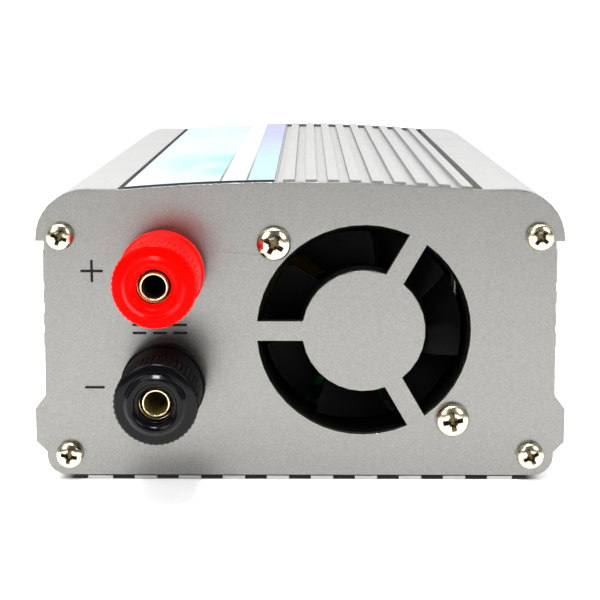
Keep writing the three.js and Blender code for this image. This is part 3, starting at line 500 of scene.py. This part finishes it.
SOFT_EDGES = {
    "front_plate": 0.22, "rear_plate": 0.22, "top_cover": 0.16, "bottom_tray": 0.16,
    "label_plate": 0.08, "outlet_body": 0.5, "switch_housing": 0.3, "switch_rocker": 0.5,
    "fan_frame": 0.3, "circuit_board": 0.15,
}
DEFAULT_EDGE = 0.2


def refine_cad_nodes():
    for row in record["subparts"]:
        node = nodes[row["node"]]
        mesh = node.data
        mesh.materials.clear()
        mesh.materials.append(looks[row["material_slot"]].material)
        if "custom_normal" in mesh.attributes:
            mesh.attributes.remove(mesh.attributes["custom_normal"])
        for polygon in mesh.polygons:
            polygon.use_smooth = True
        weld = node.modifiers.new("weld", "WELD")
        weld.merge_threshold = 1e-6
        bevel = node.modifiers.new("soft_edges", "BEVEL")
        bevel.width = mm(SOFT_EDGES.get(row["node"], DEFAULT_EDGE))
        bevel.segments = 2
        bevel.limit_method = "ANGLE"
        bevel.angle_limit = math.radians(38)
        bevel.use_clamp_overlap = True
        bevel.harden_normals = False
        node.modifiers.new("flat_faces", "WEIGHTED_NORMAL").keep_sharp = False


refine_cad_nodes()

# ---------------------------------------------------------------- binding posts

KNURL_TEETH = 46
KNURL_DEPTH = 0.26
KNURL_RADIUS = 7.27
RIDGE_SHARPNESS = 1.6
KNURL_BACK = -12.8
KNURL_FRONT = -18.0
CAP_FRONT = -19.4
SIDE_NORMAL = 0.8

CROWN = {"middle": 4.5, "inner_half": 0.95, "outer_half": 1.15, "base": -18.56, "height": 0.82}


def crown_arc(steps=12):
    """The raised ring round the cap's mouth: a soft slope outside, and a quarter ellipse inside."""
    points = []
    for step in range(steps + 1):
        along = 1 - step / steps
        rise = CROWN["height"] * (1 + math.cos(math.pi * along)) / 2
        points.append((CROWN["middle"] + CROWN["outer_half"] * along, CROWN["base"] - rise, 0))
    for step in range(1, steps + 1):
        angle = math.pi / 2 * step / steps
        reach = CROWN["middle"] - CROWN["inner_half"] * math.sin(angle)
        points.append((reach, CROWN["base"] - CROWN["height"] * math.cos(angle), 0))
    return points


CAP_BACK_PROFILE = [
    (3.6, -3.5, 0), (7.55, -3.5, 0.5), (7.55, -5.9, 0.4), (7.2, -6.4, 0.4), (7.2, KNURL_BACK + 0.3, 0.1),
]
CAP_FRONT_PROFILE = [
    (6.95, KNURL_FRONT - 0.3, 0.3), (6.1, -18.5, 0.2), *crown_arc(), (3.55, -18.2, 0), (3.1, -18.1, 0.1),
    (3.1, -16.8, 0), (3.6, -16.8, 0),
]


# The toothed collar between the cap's back and its face. knurl_tooth() cuts the teeth into it.
KNURL_PROFILE = [
    (7.0, KNURL_BACK + 0.15, 0), (KNURL_RADIUS, KNURL_BACK, 0), (KNURL_RADIUS, KNURL_FRONT + 0.12, 0),
    (7.1, KNURL_FRONT - 0.1, 0),
]


def knurl_tooth(angle, radius, y):
    """The cap's radius at an angle: lower between the teeth of the collar, and unchanged elsewhere."""
    if not KNURL_FRONT <= y <= KNURL_BACK + 0.01:
        return radius
    phase = (angle * KNURL_TEETH / (2 * math.pi)) % 1.0
    ridge = 1 - abs(2 * phase - 1)
    return radius - KNURL_DEPTH * (1 - min(1.0, ridge * RIDGE_SHARPNESS))


def add_cap(colour, slot, opening):
    """One screw-down cap, standing opening millimetres out from its closed place."""
    profile = rounded([*CAP_BACK_PROFILE, *KNURL_PROFILE, *CAP_FRONT_PROFILE])
    shifted = [(radius, y - opening) for radius, y in profile]
    node = f"{colour}_cap"
    mesh = lathe(f"{colour}_knob", shifted, axis_of(node), KNURL_TEETH * 6,
                 tooth=lambda angle, radius, y: knurl_tooth(angle, radius, y + opening))
    add_piece(f"{colour}_knob", mesh, f"{colour}_grip", slot, [node])
    mesh.materials.append(looks[f"{colour}_grip_side"].material)
    for polygon in mesh.polygons:
        closed_y = (polygon.center.y - PLATE_FRONT) * 1000 + opening
        if abs(polygon.normal.y) < SIDE_NORMAL and closed_y > KNURL_FRONT - 0.05:
            polygon.material_index = 1


STUD_PROFILE = [
    (0, -2.2, 0), (2.0, -2.2, 0.2), (2.0, -17.95, 0), (2.12, -18.15, 0.05), (2.3, -18.2, 0.05),
    (2.5, -18.0, 0.1), (2.5, -4.0, 0), (3.2, -4.0, 0.1), (3.2, -3.2, 0.1), (2.5, -3.2, 0),
    (2.5, 10.2, 0.2), (2.2, 10.5, 0.1), (0, 10.5, 0),
]
SHADED_BORE_REACH = 2.03
BASE_PROFILE = [
    (2.9, -3.1, 0), (6.6, -3.1, 0.5), (6.6, -0.1, 0.1), (4.3, -0.1, 0), (4.3, 2.4, 0.1), (2.9, 2.4, 0),
]


def paint_bore_shade(mesh, axis, look):
    """Gives the inside of a stud's socket painted shade: a darker, duller surface than its turned outside.
    """
    mesh.materials.append(looks[look].material)
    for polygon in mesh.polygons:
        centre = polygon.center
        reach = math.hypot(centre.x - axis[0], centre.z - axis[1])
        if reach < mm(SHADED_BORE_REACH) and centre.y < PLATE_FRONT:
            polygon.material_index = 1


for colour, slot in (("red", "plastic_red"), ("black", "plastic_dark_gloss")):
    post_axis = axis_of(f"{colour}_post_stud")
    cap_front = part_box(f"{colour}_cap")[0].y
    opening = (PLATE_FRONT + mm(CAP_FRONT) - cap_front) * 1000
    add_cap(colour, slot, opening)
    socket = lathe(f"{colour}_socket", rounded(STUD_PROFILE), post_axis, 48, False)
    add_piece(f"{colour}_socket", socket, "case", "brass_bright", [f"{colour}_post_stud"])
    # Painted shade inside the socket, deeper in the red post's.
    paint_bore_shade(socket, post_axis, "brass_bore_deep_painted_shade" if colour == "red" else "brass_bore_painted_shade")
    add_piece(f"{colour}_collar", lathe(f"{colour}_collar", rounded(BASE_PROFILE), post_axis, 72),
              "case", slot, [f"{colour}_post_base"])

# ---------------------------------------------------------------- screws

SCREW_TURNS = {
    "front_screw_upper_left": 20, "front_screw_upper_right": 38, "front_screw_lower_left": 12,
    "front_screw_lower_right": 62, "rear_screw_upper_left": 50, "rear_screw_upper_right": 8,
    "rear_screw_lower_left": 33, "rear_screw_lower_right": 71, "fan_screw_upper": 30, "fan_screw_lower": 80,
}
RECESS_OVERLAP = 0.4
RECESS_REACH = 0.64


def recess_cutter(axis, face, out, reach, turn):
    """A cross of two tapered blades and a square cone, which cuts the driver recess into a screw head."""
    wide, narrow = reach, reach * 0.24
    deep_wide, deep_narrow = reach * 0.5, reach * 0.15
    middle, deep_middle = reach * 0.4, reach * 0.2
    arms = [
        (wide, narrow, deep_wide, deep_narrow), (narrow, wide, deep_narrow, deep_wide),
        (middle, middle, deep_middle, deep_middle),
    ]
    work = bmesh.new()
    for half_x, half_z, deep_x, deep_z in arms:
        rows = []
        levels = ((-RECESS_OVERLAP, half_x, half_z), (0.0, half_x, half_z), (reach * 0.95, deep_x, deep_z))
        for depth, row_x, row_z in levels:
            rows.append([
                work.verts.new((side_x * mm(row_x), out * -mm(depth), side_z * mm(row_z)))
                for side_x, side_z in ((-1, -1), (1, -1), (1, 1), (-1, 1))
            ])
        work.faces.new(rows[0])
        work.faces.new(list(reversed(rows[-1])))
        for first, second in zip(rows, rows[1:]):
            for side in range(4):
                after = (side + 1) % 4
                work.faces.new((first[side], second[side], second[after], first[after]))
    bmesh.ops.recalc_face_normals(work, faces=work.faces)
    place = Matrix.Translation((axis[0], face, axis[1])) @ Matrix.Rotation(math.radians(turn), 4, "Y")
    bmesh.ops.transform(work, matrix=place, verts=work.verts)
    mesh = bpy.data.meshes.new("recess_cutter")
    work.to_mesh(mesh)
    work.free()
    # The cut faces of the recess take this painted shade look.
    mesh.materials.append(looks["screw_recess_painted_shade"].material)
    cutter = bpy.data.objects.new("recess_cutter", mesh)
    bpy.context.scene.collection.objects.link(cutter)
    return cutter


def cut_away(piece, cutter):
    """Cuts the cutter's shape out of the piece, and removes the cutter."""
    boolean = piece.modifiers.new("recess", "BOOLEAN")
    boolean.operation = "DIFFERENCE"
    boolean.solver = "EXACT"
    boolean.use_self = True
    boolean.material_mode = "TRANSFER"
    boolean.object = cutter
    bpy.context.view_layer.update()
    evaluated = piece.evaluated_get(bpy.context.evaluated_depsgraph_get())
    mesh = bpy.data.meshes.new_from_object(evaluated)
    piece.modifiers.clear()
    piece.data = mesh
    bpy.data.objects.remove(cutter)
    smooth_to_angle(mesh, 30)


def add_screw(node, turn):
    """A domed screw with a cross recess, in place of the CAD screw called node."""
    low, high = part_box(node)
    axis = axis_of(node)
    head = (high.x - low.x) * 500
    faces_front = node.startswith(("front", "fan"))
    out = -1 if faces_front else 1
    tip_y, face_y = (high.y, low.y) if faces_front else (low.y, high.y)
    length = abs(face_y - tip_y) * 1000
    tall = head * 0.78
    shank = head * 0.6
    profile = rounded([
        (0, 0, 0), (head * 0.55, 0.04 * head, 0.4), (head * 0.9, 0.18 * head, 0.5),
        (head, 0.40 * head, 0.3), (head, tall, 0.1), (shank, tall, 0), (shank, length - 0.5, 0.1),
        (shank - 0.5, length, 0), (0, length, 0),
    ], 6)
    start = (face_y - PLATE_FRONT) * 1000
    turned = [(radius, start - out * y) for radius, y in profile]
    name = node.replace("screw", "fixing")
    piece = add_piece(name, lathe(name, turned, axis, 48, False), "case", "screw_zinc", [node])
    cut_away(piece, recess_cutter(axis, face_y, out, head * RECESS_REACH, turn))


for node, turn in SCREW_TURNS.items():
    add_screw(node, turn)

# ---------------------------------------------------------------- fan impeller

BLADES = 7
HUB_RADIUS = 11.8
BLADE_TIP = 18.0
BLADE_ROOT = HUB_RADIUS - 0.5
BLADE_SWEEP = 0.80
BLADE_DEPTH = 6.0
BLADE_COLUMNS = 8
BLADE_ROWS = 5


def hub_profile(front, back):
    """The cup-shaped hub, open to the rear, and the shaft inside it."""
    hub_back = front + 6.8
    return rounded([
        (0, front, 0), (4.0, front, 0.1), (4.3, front + 0.25, 0.1), (10.4, front + 0.25, 0.1),
        (HUB_RADIUS, front + 0.6, 0.8), (HUB_RADIUS, hub_back, 0.2), (HUB_RADIUS - 1, hub_back, 0),
        (HUB_RADIUS - 1, front + 1, 0.2), (0.9, front + 1, 0), (0.9, back, 0), (0, back, 0),
    ])


def blade_points(work, axis, front, base_angle):
    """The corners of one curved blade, by (layer, column, row)."""
    points = {}
    for layer in (0, 1):
        for column in range(BLADE_COLUMNS + 1):
            across = column / BLADE_COLUMNS
            depth = front + 0.5 + BLADE_DEPTH * (across + 0.12 * math.sin(math.pi * across))
            thickness = 0.35 + 0.35 * math.sin(math.pi * min(1, across + 0.02))
            y = depth + (layer - 0.5) * thickness
            for row in range(BLADE_ROWS + 1):
                out = row / BLADE_ROWS
                radius = BLADE_ROOT + (BLADE_TIP - HUB_RADIUS + 0.5) * out
                angle = base_angle + (across - 0.5) * BLADE_SWEEP + 0.12 * out
                points[layer, column, row] = work.verts.new((
                    axis[0] + mm(radius) * math.cos(angle), PLATE_FRONT + mm(y),
                    axis[1] + mm(radius) * math.sin(angle)))
    return points


def add_blade(work, points):
    """The two sides of a blade, and the four edges between them."""
    columns, rows = range(BLADE_COLUMNS), range(BLADE_ROWS)
    for layer in (0, 1):
        for column in columns:
            for row in rows:
                work.faces.new((
                    points[layer, column, row], points[layer, column + 1, row],
                    points[layer, column + 1, row + 1], points[layer, column, row + 1]))
    for column in columns:
        for row in (0, BLADE_ROWS):
            work.faces.new((
                points[0, column, row], points[0, column + 1, row],
                points[1, column + 1, row], points[1, column, row]))
    for row in rows:
        for column in (0, BLADE_COLUMNS):
            work.faces.new((
                points[0, column, row], points[0, column, row + 1],
                points[1, column, row + 1], points[1, column, row]))


def add_impeller():
    axis = axis_of("fan_rotor")
    low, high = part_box("fan_rotor")
    front = (low.y - PLATE_FRONT) * 1000
    back = (high.y - PLATE_FRONT) * 1000
    mesh = lathe("fan_impeller", hub_profile(front, back), axis, 72, False)
    work = bmesh.new()
    work.from_mesh(mesh)
    for blade in range(BLADES):
        add_blade(work, blade_points(work, axis, front, 2 * math.pi * blade / BLADES))
    bmesh.ops.recalc_face_normals(work, faces=work.faces)
    work.to_mesh(mesh)
    work.free()
    smooth_to_angle(mesh)
    add_piece("fan_impeller", mesh, "fan", "plastic_black", ["fan_rotor"])


add_impeller()

# ---------------------------------------------------------------- printed marks on the front plate

INK_PROUD = 0.03
STROKE = 0.48


def stroke_outline(x, z, half_x, half_z):
    """A straight stroke with rounded ends, as (x, z) points in metres."""
    round_half = min(half_x, half_z)
    points = []
    along_x = half_x >= half_z
    for end in (0, 1):
        centre = (half_x - round_half if along_x else half_z - round_half) * (1 - 2 * end)
        for step in range(7):
            angle = math.pi * (end - 0.5 + step / 6)
            forward, side = centre + round_half * math.cos(angle), round_half * math.sin(angle)
            dx, dz = (forward, side) if along_x else (side, forward)
            points.append((mm(x + dx), mm(z + dz)))
    return points


def cross_outline(x, z, half, half_stroke):
    """A plus sign with slightly bevelled arm ends, as (x, z) points in metres."""
    arm = [
        (half_stroke, half_stroke), (half_stroke, half - 0.1), (half_stroke - 0.1, half),
        (-half_stroke + 0.1, half), (-half_stroke, half - 0.1),
    ]
    points = []
    for turn in range(4):
        angle = turn * math.pi / 2
        for px, pz in arm:
            points.append((mm(x + px * math.cos(angle) - pz * math.sin(angle)),
                           mm(z + px * math.sin(angle) + pz * math.cos(angle))))
    return points


def add_mark(name, outline):
    mesh = slab(name, outline, PLATE_FRONT - mm(INK_PROUD), PLATE_FRONT + mm(0.01))
    mesh.materials.append(ink.material)
    add_piece(name, mesh, "case")


PLUS_HALF = 2.05
MINUS_HALF = 1.85
SYMBOL_HALF = 5.0
DASH_HALF = 1.3
DASH_PITCH = 3.7
LINE_OFFSET = 0.75

red_x, red_z = [value * 1000 for value in axis_of("red_post_stud")]
black_z = axis_of("black_post_stud")[1] * 1000
sign_x = red_x - 13.1
add_mark("mark_plus", cross_outline(sign_x, red_z - 0.4, PLUS_HALF, STROKE / 2))
add_mark("mark_minus", stroke_outline(sign_x, black_z - 1.85, MINUS_HALF, STROKE / 2))

# The generic direct-current symbol, a line over a broken line, between the posts.
symbol_x = red_x - 1.0
symbol_z = (red_z + black_z) / 2 - 1.0
add_mark("mark_direct_solid", stroke_outline(symbol_x, symbol_z + LINE_OFFSET, SYMBOL_HALF, STROKE / 2))
for index in range(3):
    dash_x = symbol_x + (index - 1) * DASH_PITCH
    dash = stroke_outline(dash_x, symbol_z - LINE_OFFSET, DASH_HALF, STROKE / 2)
    add_mark(f"mark_direct_dash_{index + 1}", dash)
